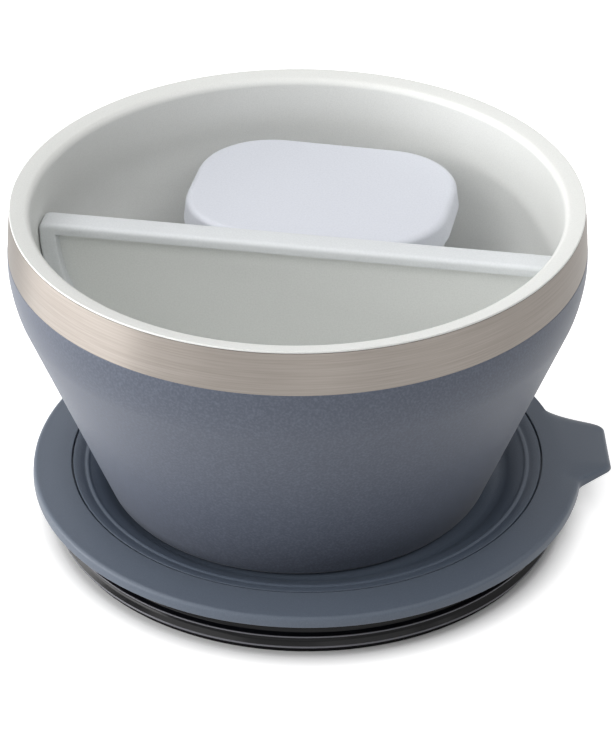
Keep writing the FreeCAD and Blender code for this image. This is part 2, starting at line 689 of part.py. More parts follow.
def lid_seal():
    """Black sealing ring clipped round the skirt, with two ribs that grip the bowl's mouth."""
    body = new_body("lid_seal")
    section = new_sketch(body, "seal_section")
    wall = f"({SKIRT} + seal_wall)"
    cuff = f"({SKIRT_INSIDE} - seal_cuff)"

    def rib(height, radius):
        return [
            (wall, f"{height} + rib_root / 2"),
            (radius, f"{height} + rib_tip / 2"),
            (radius, f"{height} - rib_tip / 2"),
            (wall, f"{height} - rib_root / 2"),
        ]

    outline(section, [
        (SKIRT, FLANGE_BOTTOM),
        (wall, FLANGE_BOTTOM),
        *rib("upper_rib", f"{MOUTH} + upper_rib_squeeze"),
        *rib("lower_rib", f"{MOUTH} + lower_rib_squeeze"),
        (wall, "0"),
        (cuff, "0"),
        (cuff, "seal_cuff_height"),
        (SKIRT_INSIDE, "seal_cuff_height"),
        (SKIRT_INSIDE, "seal_foot"),
        (SKIRT, "seal_foot"),
    ])
    revolve(body, section, "seal_ring")
    tips = [(f"{MOUTH} + {rib}_squeeze", f"{rib} {sign} rib_tip / 2")
            for rib in ("upper_rib", "lower_rib") for sign in "+-"]
    round_edges(body, "rib_edges", "rib_tip * 0.45", ring_at(*tips))
    place_lid_piece(body)
    return body


# ---------------------------------------------------------------------------
# The divider: a soft frame that follows the cavity, and a thin panel in it.
# ---------------------------------------------------------------------------

DIVIDER_TOP = "(bowl_height - divider_drop)"


def half_field(body, name, inset, head):
    """The cavity's half outline, set in by a border, and by the head below the divider's top."""
    return filled_wall(body, name, CAVITY, inset, minus(DIVIDER_TOP, head))


def mirror_across(body, feature, name, plane="YZ_Plane"):
    """Repeat a one-sided feature on the other side of a plane through the body's axis."""
    mirrored = body.newObject("PartDesign::Mirrored", name)
    mirrored.Originals = [feature]
    mirrored.MirrorPlane = (origin_feature(body, plane), [""])
    body.Tip = mirrored
    doc.recompute()


def cut_side(body, name, deep, reach):
    """Cut away everything beyond one face of the divider."""
    sketch = new_sketch(body, name, "XY_Plane")
    far = f"{deep} + {reach}" if not deep.startswith("-") else f"{deep} - {reach}"
    outline(sketch, [(f"-{reach}", deep), (reach, deep), (reach, far), (f"-{reach}", far)])
    return extrude(body, sketch, f"{name}_cut", kind="Pocket")


def frame_outer_edges(edge):
    """A test for the edges round the outside of the divider's two faces."""
    face, window = value("divider_width / 2"), value(f"{MOUTH} - divider_clearance - divider_border")
    middle = edge.valueAt((edge.FirstParameter + edge.LastParameter) / 2)
    on_face = all(abs(abs(vertex.Y) - face) < 0.001 for vertex in edge.Vertexes) and abs(
        abs(middle.y) - face) < 0.001
    top, floor = value(DIVIDER_TOP), value("cavity_floor + divider_clearance")
    on_top_or_floor = min(abs(middle.z - top), abs(middle.z - floor)) < 0.001
    slant = value(wall_radius(CAVITY, str(middle.z))) - value("divider_border") / 2
    return on_face and (on_top_or_floor or abs(middle.x) > min(slant, window))


def divider_frame():
    """Soft frame that fits the cavity's cross-section and holds the panel in a slot."""
    body = new_body("divider_frame")
    blank = filled_wall(body, "frame_outside", CAVITY, "divider_clearance", DIVIDER_TOP)
    revolve(body, blank, "frame_blank")
    round_edges(body, "frame_corner", "divider_corner",
                ring_at((f"{MOUTH} - divider_clearance", DIVIDER_TOP)))
    cut_side(body, "front_face", "-divider_width / 2", BULGE)
    cut_side(body, "rear_face", "divider_width / 2", BULGE)
    border = "divider_clearance + divider_border"
    window = extrude(body, half_field(body, "frame_window", border, "divider_head"), "window",
                     kind="Pocket")
    mirror_across(body, window, "window_pair")
    tongue = f"{border} - panel_tongue"
    slot = extrude(body, half_field(body, "frame_slot", tongue, "divider_head - panel_tongue"), "slot",
                   "panel_wall", "Pocket")
    mirror_across(body, slot, "slot_pair")
    round_edges(body, "frame_edge", "divider_edge", frame_outer_edges)
    place(body, up=RECESS_FLOOR)
    return body


def divider_panel():
    """Thin panel whose edge sits in the frame's slot."""
    body = new_body("divider_panel")
    tongue = "divider_clearance + divider_border - panel_tongue"
    field = half_field(body, "panel_field", tongue, "divider_head - panel_tongue")
    half = extrude(body, field, "panel_half", "panel_wall")
    mirror_across(body, half, "panel_pair")
    place(body, up=RECESS_FLOOR)
    return body


# ---------------------------------------------------------------------------
# The sauce cup and its lid, wedged in the rear compartment.
# ---------------------------------------------------------------------------

CUP_TOP = "(bowl_height - cup_drop - cup_lid_wall)"
CUP_BASE = f"({CUP_TOP} - cup_depth)"
RIM_INSET = "(cup_lid_wall + lid_clearance + (cup_lid_depth - cup_lid_wall) * tan(cup_lid_taper))"
CUP_LEAN = f"({RIM_INSET} + (cup_depth - cup_rim_height) * tan(cup_taper))"
CUP_CORNER = f"(cup_lid_corner - {CUP_LEAN})"
CUP_CORNER_ACROSS = "(cup_shift + cup_lid_length / 2 - cup_lid_corner)"
# The rounding under the cup's corners comes within the clearance of the cavity's slanted wall.
CUP_ROUND_REACH = "(cup_base_round / cos(cup_taper) - cup_base_round * tan(cup_taper))"
CUP_CORNER_REACH = (
    f"({wall_radius(CAVITY, f'{CUP_BASE} + cup_base_round')}"
    f" - (cup_base_round + cup_clearance) / cos({WALL_TILT}) + {CUP_ROUND_REACH} - {CUP_CORNER})"
)
CUP_REAR = (
    f"(sqrt({CUP_CORNER_REACH} * {CUP_CORNER_REACH} - {CUP_CORNER_ACROSS} * {CUP_CORNER_ACROSS})"
    " + cup_lid_corner)"
)
CUP_FRONT = "(divider_width / 2 + cup_divider_gap)"
CUP_LID_WIDTH = f"({CUP_REAR} - {CUP_FRONT})"
CUP_DEEP = f"(({CUP_REAR} + {CUP_FRONT}) / 2)"


def rounded_rectangle(body, name, length, width, corner, height):
    """A rectangle with round corners about the axis, at a height above the body's base."""
    sketch = new_sketch(body, name, "XY_Plane")
    sketch.setExpression("AttachmentOffset.Base.z", bound(height))
    half_length, half_width, radius = value(length) / 2, value(width) / 2, value(corner)
    across, deep = half_length - radius, half_width - radius
    quarters = [(across, deep), (-across, deep), (-across, -deep), (across, -deep)]
    arcs = [arc(sketch, quarters[k], radius, 90 * k, 90 * (k + 1)) for k in range(4)]
    for k, direction in enumerate(("Horizontal", "Vertical", "Horizontal", "Vertical")):
        following = arcs[(k + 1) % 4]
        start, end = sketch.getPoint(arcs[k], 2), sketch.getPoint(following, 1)
        side = line(sketch, (start.x, start.y), (end.x, end.y))
        relate(sketch, "Tangent", arcs[k], 2, side, 1)
        relate(sketch, "Tangent", side, 2, following, 1)
        relate(sketch, direction, side)
        if k:
            relate(sketch, "Equal", arcs[0], arcs[k])
    relate(sketch, "Symmetric", arcs[0], 3, arcs[2], 3, -1, 1)
    dimension(sketch, "Radius", arcs[0], formula=corner)
    dimension(sketch, "DistanceX", arcs[2], 3, arcs[0], 3, formula=f"({length}) - 2 * ({corner})")
    dimension(sketch, "DistanceY", arcs[2], 3, arcs[0], 3, formula=f"({width}) - 2 * ({corner})")
    return sketch


def tapered(body, sketch, name, length, taper, kind="Pad", down=False):
    """Pad or pocket a sketch from its plane; a positive taper narrows it on its way."""
    feature = body.newObject(f"PartDesign::{kind}", name)
    feature.Profile = sketch
    feature.setExpression("Length", bound(length))
    feature.setExpression("TaperAngle", f"-1 deg * ({bound(taper)})")
    feature.Reversed = down
    doc.recompute()
    return feature


def flat_edges_at(height):
    """A test for the edges that lie at one height."""
    level = value(height)
    return lambda edge: all(abs(vertex.Z - level) < 0.001 for vertex in edge.Vertexes)


def sauce_cup():
    """Moulded cup, tapered to its base, with an upright rim under its lid."""
    body = new_body("sauce_cup")
    shoulder = "cup_depth - cup_rim_height"
    rim = (f"cup_lid_length - 2 * {RIM_INSET}", f"{CUP_LID_WIDTH} - 2 * {RIM_INSET}",
           f"cup_lid_corner - {RIM_INSET}")
    inside = (f"{rim[0]} - 2 * cup_wall", f"{rim[1]} - 2 * cup_wall", f"{rim[2]} - cup_wall")
    outline_at = rounded_rectangle(body, "wall_outline", *rim, shoulder)
    tapered(body, outline_at, "cup_block", shoulder, "cup_taper", down=True)
    round_edges(body, "base_rounding", "cup_base_round", flat_edges_at("0"))
    tapered(body, rounded_rectangle(body, "rim_outline", *rim, shoulder), "rim_block", "cup_rim_height", "0")
    tapered(body, rounded_rectangle(body, "mouth_outline", *inside, "cup_depth"), "mouth",
            "cup_rim_height", "0", "Pocket")
    tapered(body, rounded_rectangle(body, "hollow_outline", *inside, shoulder), "hollow",
            f"{shoulder} - cup_wall", "cup_taper", "Pocket")
    round_edges(body, "hollow_rounding", "cup_base_round - cup_wall", flat_edges_at("cup_wall"))
    place(body, "cup_shift", CUP_DEEP, f"{RECESS_FLOOR} + {CUP_BASE}", "cup_turn")
    return body


def sauce_cup_lid():
    """Push-fit cup lid with a softly rounded top edge and a slightly flared skirt."""
    body = new_body("sauce_cup_lid")
    skirt = rounded_rectangle(body, "skirt_outline", "cup_lid_length", CUP_LID_WIDTH, "cup_lid_corner", "0")
    tapered(body, skirt, "lid_block", "cup_lid_depth", "cup_lid_taper")
    round_edges(body, "top_edge", "cup_lid_edge", flat_edges_at("cup_lid_depth"))
    hollow = rounded_rectangle(body, "hollow_outline", "cup_lid_length - 2 * cup_lid_wall",
                               f"{CUP_LID_WIDTH} - 2 * cup_lid_wall", "cup_lid_corner - cup_lid_wall", "0")
    tapered(body, hollow, "lid_hollow", "cup_lid_depth - cup_lid_wall", "cup_lid_taper", "Pocket", down=True)
    place(body, "cup_shift", CUP_DEEP, f"{RECESS_FLOOR} + bowl_height - cup_drop - cup_lid_depth", "cup_turn")
    return body


PIECES = [
    make() for make in (
        lid_dish, lid_flange, lid_seal, inner_liner, rim_band, outer_shell, base_plate, base_cap,
        port_seal, getter, divider_frame, divider_panel, sauce_cup, sauce_cup_lid,
    )
]
doc.recompute()

faults = [item.Name for item in doc.Objects if {"Invalid", "Error"} & set(item.State)]
faults += [piece.Label for piece in PIECES if piece.Shape.isNull() or not piece.Shape.isValid()]
if faults:
    raise SystemExit("failed objects: " + ", ".join(faults))

os.makedirs("parts", exist_ok=True)
for piece in PIECES:
    piece.Shape.exportStep(f"parts/{piece.Label}.step")
    box = piece.Shape.BoundBox
    print(f"{piece.Label}: {len(piece.Shape.Solids)} solid, {piece.Shape.Volume / 1000:.2f} cm3, "
          f"z {box.ZMin:.2f} to {box.ZMax:.2f}")
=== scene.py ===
import math

import bmesh
import bpy
from mathutils import Matrix, Vector


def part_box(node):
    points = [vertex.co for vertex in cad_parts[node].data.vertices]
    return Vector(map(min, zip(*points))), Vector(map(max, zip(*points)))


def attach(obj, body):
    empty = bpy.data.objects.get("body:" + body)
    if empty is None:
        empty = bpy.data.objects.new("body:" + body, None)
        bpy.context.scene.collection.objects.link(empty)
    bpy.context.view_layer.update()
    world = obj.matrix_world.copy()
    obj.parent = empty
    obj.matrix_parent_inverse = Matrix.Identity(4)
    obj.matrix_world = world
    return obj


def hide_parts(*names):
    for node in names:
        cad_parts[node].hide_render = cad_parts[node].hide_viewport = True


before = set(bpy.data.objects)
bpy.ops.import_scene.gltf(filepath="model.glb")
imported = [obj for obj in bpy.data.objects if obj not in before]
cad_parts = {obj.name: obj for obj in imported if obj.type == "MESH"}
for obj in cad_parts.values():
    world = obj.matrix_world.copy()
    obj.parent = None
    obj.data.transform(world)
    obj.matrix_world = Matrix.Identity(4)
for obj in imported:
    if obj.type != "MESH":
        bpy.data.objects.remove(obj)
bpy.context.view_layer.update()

# ---------------------------------------------------------------------------
# The camera. It looks down at the bowl by about 32 degrees, from in front and
# a little to the right of the divider's middle.
# ---------------------------------------------------------------------------
scene = bpy.context.scene
scene.view_settings.view_transform = "Standard"

EYE = Vector((0.15087, -0.83849, 0.5965))
GAZE = Vector((-0.14625, 0.83096, -0.53673))
LENS, FILM_HEIGHT = 146.16, 36.0

camera = bpy.data.objects.new("camera", bpy.data.cameras.new("camera"))
camera.data.sensor_fit = "VERTICAL"
camera.data.sensor_height = FILM_HEIGHT
camera.data.lens = LENS
camera.location = EYE
camera.rotation_euler = GAZE.to_track_quat("-Z", "Y").to_euler()
scene.collection.objects.link(camera)
scene.camera = camera

# ---------------------------------------------------------------------------
# The lamps: the main softbox stands low at the left, where the band and the
# coat mirror it. Weaker ones overhead open up the shaded sides, and the
# weakest stands low in front.
# ---------------------------------------------------------------------------
LAMP_TARGET = Vector((0, 0, 0.07))


def softbox(name, place, width, height, watts):
    """A large studio lamp that faces the bowl."""
    lamp = bpy.data.lights.new(name, "AREA")
    lamp.shape = "RECTANGLE"
    lamp.size, lamp.size_y = width, height
    lamp.energy = watts
    holder = bpy.data.objects.new(name, lamp)
    holder.location = place
    holder.rotation_euler = (LAMP_TARGET - Vector(place)).to_track_quat("-Z", "Y").to_euler()
    scene.collection.objects.link(holder)


softbox("left_softbox", (-1.3, -0.28, 0.26), 1.4, 0.6, 18.5)
softbox("left_upper_softbox", (-0.8, 0.1, 1.15), 1.0, 1.0, 6.0)
softbox("front_left_softbox", (-0.85, -0.9, 0.9), 0.9, 0.9, 6.0)
softbox("front_softbox", (0.0, -1.0, 1.4), 1.0, 1.0, 2.2)
softbox("front_right_softbox", (0.7, -0.85, 1.15), 0.9, 0.9, 2.8)
softbox("right_softbox", (0.8, 0.05, 1.2), 1.0, 1.0, 4.8)
softbox("top_softbox", (0.0, 0.0, 1.5), 1.2, 1.2, 3.0)
softbox("low_front_softbox", (0.1, -1.4, 0.33), 1.1, 0.5, 1.3)

# ---------------------------------------------------------------------------
# The room: white where the camera, metal or glass looks at it, and a dimmer
# even light on everything else.
# ---------------------------------------------------------------------------
ROOM_LIGHT = 0.08
ROOM_WHITE = 1.0


def any_of(tree, outputs):
    """The highest of several ray tests, as one factor."""
    factor = outputs[0]
    for other in outputs[1:]:
        pick = tree.nodes.new("ShaderNodeMath")
        pick.operation = "MAXIMUM"
        tree.links.new(factor, pick.inputs[0])
        tree.links.new(other, pick.inputs[1])
        factor = pick.outputs[0]
    return factor


world = bpy.data.worlds.new("studio_room")
scene.world = world
world.use_nodes = True
tree = world.node_tree
tree.nodes.clear()
rays = tree.nodes.new("ShaderNodeLightPath").outputs
seen = any_of(tree, [rays["Is Camera Ray"], rays["Is Glossy Ray"], rays["Is Transmission Ray"]])
room = tree.nodes.new("ShaderNodeBackground")
room.inputs["Strength"].default_value = ROOM_LIGHT
white = tree.nodes.new("ShaderNodeBackground")
white.inputs["Strength"].default_value = ROOM_WHITE
for light in (room, white):
    light.inputs["Color"].default_value = (1, 1, 1, 1)
choose = tree.nodes.new("ShaderNodeMixShader")
world_out = tree.nodes.new("ShaderNodeOutputWorld")
tree.links.new(seen, choose.inputs[0])
tree.links.new(room.outputs[0], choose.inputs[1])
tree.links.new(white.outputs[0], choose.inputs[2])
tree.links.new(choose.outputs[0], world_out.inputs[0])

# ---------------------------------------------------------------------------
# The table top: white paper, which looks as white as the room behind it but
# close round the lid, where it keeps the lid's shadow.
# ---------------------------------------------------------------------------
TABLE_REACH = 3.0
PAPER_WHITE = 0.8
PAPER_GLOW = 0.75
SHADOW_REACH = 0.016
SHADED_SHARE, OPEN_SHARE = 0.5, 0.95


def srgb(red, green, blue):
    """A screen colour, from 0 to 255, as the linear colour that a shader takes."""
    channels = [c / 255 for c in (red, green, blue)]
    linear = [c / 12.92 if c <= 0.04045 else ((c + 0.055) / 1.055) ** 2.4 for c in channels]
    return (*linear, 1.0)


def shader_of(finish):
    return finish.node_tree.nodes["Principled BSDF"]


def new_finish(name, colour, roughness, metallic=0.0, **others):
    """A finish with its plain values; other sockets are named with _ for a space."""
    finish = bpy.data.materials.new(name)
    finish.use_nodes = True
    values = {"Base_Color": colour, "Roughness": roughness, "Metallic": metallic, **others}
    for socket, value in values.items():
        shader_of(finish).inputs[socket.replace("_", " ")].default_value = value
    return finish


def new_object(name, mesh):
    piece = bpy.data.objects.new(name, mesh)
    scene.collection.objects.link(piece)
    return piece


table = bmesh.new()
bmesh.ops.create_grid(table, x_segments=1, y_segments=1, size=TABLE_REACH)
table_mesh = bpy.data.meshes.new("table_top")
table.to_mesh(table_mesh)
table.free()
table_top = new_object("table_top", table_mesh)

paper = new_finish("white_paper", (PAPER_WHITE,) * 3 + (1,), 1.0, Specular_IOR_Level=0.0)
tree = paper.node_tree
glow = tree.nodes.new("ShaderNodeEmission")
glow.inputs["Color"].default_value = (1, 1, 1, 1)
nearness = tree.nodes.new("ShaderNodeAmbientOcclusion")
nearness.inputs["Distance"].default_value = SHADOW_REACH
open_share = tree.nodes.new("ShaderNodeMapRange")
open_share.inputs["From Min"].default_value = SHADED_SHARE
open_share.inputs["From Max"].default_value = OPEN_SHARE
open_share.inputs["To Max"].default_value = PAPER_GLOW
tree.links.new(nearness.outputs["AO"], open_share.inputs["Value"])
tree.links.new(open_share.outputs["Result"], glow.inputs["Strength"])
lit = tree.nodes.new("ShaderNodeAddShader")
shown = tree.nodes.new("ShaderNodeMixShader")
rays = tree.nodes.new("ShaderNodeLightPath").outputs
seen = any_of(tree, [rays["Is Camera Ray"], rays["Is Glossy Ray"]])
tree.links.new(shader_of(paper).outputs[0], lit.inputs[0])
tree.links.new(glow.outputs[0], lit.inputs[1])
tree.links.new(seen, shown.inputs[0])
tree.links.new(shader_of(paper).outputs[0], shown.inputs[1])
tree.links.new(lit.outputs[0], shown.inputs[2])
tree.links.new(shown.outputs[0], tree.nodes["Material Output"].inputs["Surface"])
table_mesh.materials.append(paper)

# ---------------------------------------------------------------------------
# Inner liner: deep-drawn steel bowl with a pale sprayed coat. Its edge is
# folded outwards into a broad lip, which falls a little towards the inside.
# ---------------------------------------------------------------------------
MM = 0.001
FOOT_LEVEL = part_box("outer_shell")[0][2] / MM
RIM_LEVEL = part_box("inner_liner")[1][2] / MM
SHEET = 0.9
LIP_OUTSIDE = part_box("outer_shell")[1][0] / MM - 1.4
LIP_WIDTH, LIP_FALL = 6.8, 1.3
LIP_HEM, LIP_HEM_BACK = 1.2, 1.4
LIP_EDGE_LEVEL = RIM_LEVEL - 1.3
LIP_BASE = LIP_EDGE_LEVEL - 0.65
LIP_EDGE_ROUND, LIP_INNER_ROUND = 0.3, 2.1
HEM_ROUND, HEM_CORNER_ROUND = 0.2, 1.0
MOUTH = LIP_OUTSIDE - LIP_WIDTH
MOUTH_LEVEL = LIP_EDGE_LEVEL - LIP_FALL
WALL_TILT = math.radians(21.325)
CAVITY_FLOOR = FOOT_LEVEL + 9.2
CAVITY_WIDEST = RIM_LEVEL - 21.2
CAVITY_SHOULDER = 54.9
CAVITY_CORNER = 14.0
TURN_STEPS = 256
WELD_REACH = 1e-6


def fillet_run(radius, turn):
    """How far from a corner a round of this radius begins, where the outline turns by an angle."""
    return radius * math.tan(turn / 2)


def wall_corners(widest, height, shoulder, floor, corner, inset):
    """The slanted wall's two corners, moved outwards, as across, up and run of their round."""
    slant_out = widest - shoulder + (shoulder + inset) / math.cos(WALL_TILT)
    run = fillet_run(shoulder + inset, WALL_TILT)
    foot = slant_out - (height - (floor - inset)) * math.tan(WALL_TILT)
    foot_run = fillet_run(corner + inset, math.pi / 2 - WALL_TILT)
    return (foot, floor - inset, foot_run), (widest + inset, height - run, run)


def cavity_corners(inset):
    """The bowl's inside wall, moved outwards by an inset."""
    return wall_corners(MOUTH, CAVITY_WIDEST, CAVITY_SHOULDER, CAVITY_FLOOR, CAVITY_CORNER, inset)


def outline_wire(corners, segments=12):
    """Closed outline in the XZ plane, from corners in mm: across, up and run of their round."""
    shape = bmesh.new()
    points = [shape.verts.new((across * MM, 0, up * MM)) for across, up, _ in corners]
    for k in range(len(points)):
        shape.edges.new((points[k], points[(k + 1) % len(points)]))
    for point, (_, _, rounding) in zip(points, corners):
        if rounding:
            bmesh.ops.bevel(shape, geom=[point], offset=rounding * MM, offset_type="OFFSET",
                            segments=segments, profile=0.5, affect="VERTICES", material=-1)
    bmesh.ops.remove_doubles(shape, verts=shape.verts, dist=WELD_REACH)
    return shape


def spin_round(shape, axis_at=(0.0, 0.0), steps=TURN_STEPS):
    """Turn an outline fully round an upright axis into a closed skin."""
    bmesh.ops.translate(shape, verts=shape.verts, vec=(axis_at[0], axis_at[1], 0))
    bmesh.ops.spin(shape, geom=shape.verts[:] + shape.edges[:], cent=(*axis_at, 0), axis=(0, 0, 1),
                   dvec=(0, 0, 0), angle=2 * math.pi, steps=steps, use_merge=True,
                   use_duplicate=False)
    bmesh.ops.remove_doubles(shape, verts=shape.verts, dist=WELD_REACH)
    bmesh.ops.recalc_face_normals(shape, faces=shape.faces)


def smooth_piece(name, shape, finish, sharp_over=35):
    """Make the finished bmesh an object, shaded smooth but for its sharp edges."""
    mesh = bpy.data.meshes.new(name)
    shape.to_mesh(mesh)
    shape.free()
    mesh.shade_smooth()
    mesh.set_sharp_from_angle(angle=math.radians(sharp_over))
    mesh.materials.append(finish)
    return new_object(name, mesh)


def add_grain(finish, other_colour, scale, stretch=(1, 1, 1), contrast=(0.3, 0.7), bump=0.0,
              depth=0.0001, roughness=None, cloud=0.0, cloud_scale=14.0):
    """Fine grain between the finish's colour and another, in the piece's own coordinates.

    The same grain sets the roughness and is felt as bump. A large soft cloud shades the colour.
    """
    nodes, links = finish.node_tree.nodes, finish.node_tree.links
    shader = shader_of(finish)
    place = nodes.new("ShaderNodeTexCoord")
    turn = nodes.new("ShaderNodeMapping")
    turn.inputs["Scale"].default_value = stretch
    grain = nodes.new("ShaderNodeTexNoise")
    grain.inputs["Scale"].default_value = scale
    grain.inputs["Detail"].default_value = 5.0
    ramp = nodes.new("ShaderNodeValToRGB")
    near_end, far_end = ramp.color_ramp.elements
    near_end.position, far_end.position = contrast
    near_end.color = shader.inputs["Base Color"].default_value
    far_end.color = other_colour
    soft = nodes.new("ShaderNodeTexNoise")
    soft.inputs["Scale"].default_value = cloud_scale
    soft.inputs["Detail"].default_value = 2.0
    shade = nodes.new("ShaderNodeMapRange")
    shade.inputs["To Min"].default_value = 1.0 - cloud
    shade.inputs["To Max"].default_value = 1.0 + cloud
    tint = nodes.new("ShaderNodeVectorMath")
    tint.operation = "SCALE"
    links.new(place.outputs["Object"], turn.inputs["Vector"])
    links.new(turn.outputs["Vector"], grain.inputs["Vector"])
    links.new(place.outputs["Object"], soft.inputs["Vector"])
    links.new(grain.outputs["Fac"], ramp.inputs["Fac"])
    links.new(soft.outputs["Fac"], shade.inputs["Value"])
    links.new(ramp.outputs["Color"], tint.inputs[0])
    links.new(shade.outputs["Result"], tint.inputs["Scale"])
    links.new(tint.outputs["Vector"], shader.inputs["Base Color"])
    if roughness:
        rough = nodes.new("ShaderNodeMapRange")
        rough.inputs["From Min"].default_value, rough.inputs["From Max"].default_value = contrast
        rough.inputs["To Min"].default_value, rough.inputs["To Max"].default_value = roughness
        links.new(grain.outputs["Fac"], rough.inputs["Value"])
        links.new(rough.outputs["Result"], shader.inputs["Roughness"])
    if bump:
        felt = nodes.new("ShaderNodeBump")
        felt.inputs["Strength"].default_value = bump
        felt.inputs["Distance"].default_value = depth
        links.new(grain.outputs["Fac"], felt.inputs["Height"])
        links.new(felt.outputs["Normal"], shader.inputs["Normal"])


liner = outline_wire([
    (0, CAVITY_FLOOR, 0),
    *cavity_corners(0.0),
    (MOUTH, MOUTH_LEVEL, LIP_INNER_ROUND),
    (LIP_OUTSIDE, LIP_EDGE_LEVEL, LIP_EDGE_ROUND),
    (LIP_OUTSIDE, LIP_BASE, 0),
    (LIP_OUTSIDE - LIP_HEM, LIP_BASE, 0),
    (LIP_OUTSIDE - LIP_HEM_BACK, LIP_EDGE_LEVEL - LIP_FALL / 3 - SHEET, HEM_ROUND),
    (MOUTH + SHEET, MOUTH_LEVEL - SHEET, HEM_CORNER_ROUND),
    *reversed(cavity_corners(SHEET)),
    (0, CAVITY_FLOOR - SHEET, 0),
])
spin_round(liner)
liner_coat = new_finish("pale_liner_coat", srgb(230, 231, 228), 0.36)
add_grain(liner_coat, srgb(221, 222, 219), 2600, contrast=(0.35, 0.75), bump=0.06, depth=0.00005,
          roughness=(0.3, 0.42), cloud=0.015)
inner_bowl = smooth_piece("inner_bowl", liner, liner_coat)
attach(inner_bowl, "bowl")
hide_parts("inner_liner")

# ---------------------------------------------------------------------------
# Rim band: the bare upper edge of the steel wall under the lip, brushed round
# the bowl and left uncoated. A fine step parts it from the coat below.
# ---------------------------------------------------------------------------
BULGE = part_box("outer_shell")[1][0] / MM
BULGE_LEVEL = RIM_LEVEL - 20.2
BAND_BASE = RIM_LEVEL - 16.3
BAND_TUCK = 1.0
BAND_SEAT = 0.12
BAND_TOP = LIP_OUTSIDE + BAND_SEAT
SEAM = 0.2
SHELL_SHOULDER = 40.0
FOOT_CORNER = 3.5
FOOT_OPENING = BULGE - 38.4
RIM_LEAN = 2 * math.atan((BULGE - BAND_TOP) / (LIP_BASE - BULGE_LEVEL))
LEAN_RUN = (BULGE - BAND_TOP) / math.sin(RIM_LEAN)


def shell_corners(inset):
    """The bowl's outer wall, moved inwards by an inset."""
    return wall_corners(BULGE, BULGE_LEVEL, SHELL_SHOULDER, FOOT_LEVEL, FOOT_CORNER, -inset)


def outer_wall(inset):
    """The outer wall from its foot to the lip, moved inwards, as a closed ring of sheet."""
    return outline_wire([
        (FOOT_OPENING, FOOT_LEVEL + inset, 0),
        *shell_corners(inset),
        (BULGE - inset, BULGE_LEVEL + LEAN_RUN, LEAN_RUN),
        (BAND_TOP - inset, LIP_BASE, 0),
        (BAND_TOP - inset - SHEET, LIP_BASE, 0),
        (BULGE - inset - SHEET, BULGE_LEVEL + LEAN_RUN, LEAN_RUN),
        *reversed(shell_corners(inset + SHEET)),
        (FOOT_OPENING, FOOT_LEVEL + inset + SHEET, 0),
    ], segments=16)


def cut_outline(shape, level, keep_above):
    """Cut a closed outline at a height, keep one side of it and close its ends."""
    bmesh.ops.bisect_plane(shape, geom=shape.verts[:] + shape.edges[:], dist=1e-7,
                           plane_co=(0, 0, level * MM), plane_no=(0, 0, 1),
                           clear_outer=not keep_above, clear_inner=keep_above)
    shape.edges.new([point for point in shape.verts if len(point.link_edges) == 1])


band = outer_wall(BAND_SEAT)
cut_outline(band, BAND_BASE - BAND_TUCK, keep_above=True)
cut_outline(band, LIP_BASE - SEAM, keep_above=False)
spin_round(band)
brushed = new_finish("brushed_band_steel", srgb(132, 125, 119), 0.45, metallic=1.0,
                     Anisotropic=0.9, Anisotropic_Rotation=0.25)
add_grain(brushed, srgb(148, 142, 136), 40.0, stretch=(1, 1, 60), contrast=(0.3, 0.7), bump=0.1,
          depth=0.00003, roughness=(0.42, 0.5), cloud=0.06, cloud_scale=40.0)
brush_way = brushed.node_tree.nodes.new("ShaderNodeTangent")
brush_way.direction_type, brush_way.axis = "RADIAL", "Z"
brushed.node_tree.links.new(brush_way.outputs["Tangent"], shader_of(brushed).inputs["Tangent"])
steel_band = smooth_piece("steel_band", band, brushed)
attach(steel_band, "bowl")
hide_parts("rim_band")

# ---------------------------------------------------------------------------
# Outer shell: spun steel wall under a slate-blue powder coat, which is baked
# on and leaves a fine dry grain. Its foot turns in round the base plate.
# ---------------------------------------------------------------------------
COAT_EDGE = 0.25

shell = outer_wall(0.0)
cut_outline(shell, BAND_BASE, keep_above=False)
coat_ends = [point for point in shell.verts if abs(point.co.z - BAND_BASE * MM) < WELD_REACH]
coat_edge = max(coat_ends, key=lambda point: point.co.x)
bmesh.ops.bevel(shell, geom=[coat_edge], offset=COAT_EDGE * MM, offset_type="OFFSET", segments=3,
                profile=0.5, affect="VERTICES", material=-1)
spin_round(shell)
powder = new_finish("slate_powder_coat", srgb(79, 85, 98), 0.48, Specular_IOR_Level=0.3,
                    Sheen_Weight=0.12, Sheen_Roughness=0.4)
add_grain(powder, srgb(98, 104, 118), 1300, contrast=(0.42, 0.72), bump=0.3, depth=0.00012,
          roughness=(0.42, 0.56), cloud=0.02)
coated_wall = smooth_piece("coated_wall", shell, powder)
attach(coated_wall, "bowl")
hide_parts("outer_shell")


# ---------------------------------------------------------------------------
# Closed base: a pressed steel plate, the cap over its vacuum port, the bead
# of solder glass in the port, and the getter pill inside the vacuum space.
# ---------------------------------------------------------------------------
def dress_node(node, finish):
    """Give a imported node's own mesh its finish."""
    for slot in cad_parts[node].material_slots:
        slot.material = finish


plate_steel = new_finish("spun_plate_steel", srgb(186, 184, 180), 0.28, metallic=1.0)
add_grain(plate_steel, srgb(204, 202, 198), 120, stretch=(1, 1, 8), bump=0.08, depth=0.00004,
          roughness=(0.24, 0.36), cloud=0.03)
dress_node("base_plate", plate_steel)
cap_steel = new_finish("spun_cap_steel", srgb(190, 188, 184), 0.24, metallic=1.0)
add_grain(cap_steel, srgb(206, 204, 201), 160, stretch=(1, 1, 8), bump=0.08, depth=0.00004,
          roughness=(0.2, 0.32), cloud=0.03)
dress_node("base_cap", cap_steel)
bead_glass = new_finish("dark_bead_glass", srgb(70, 76, 62), 0.08)
add_grain(bead_glass, srgb(92, 98, 82), 900, roughness=(0.05, 0.14), cloud=0.08, cloud_scale=200.0)
dress_node("port_seal", bead_glass)
pill_metal = new_finish("grey_getter_pill", srgb(118, 117, 114), 0.7, metallic=0.6)
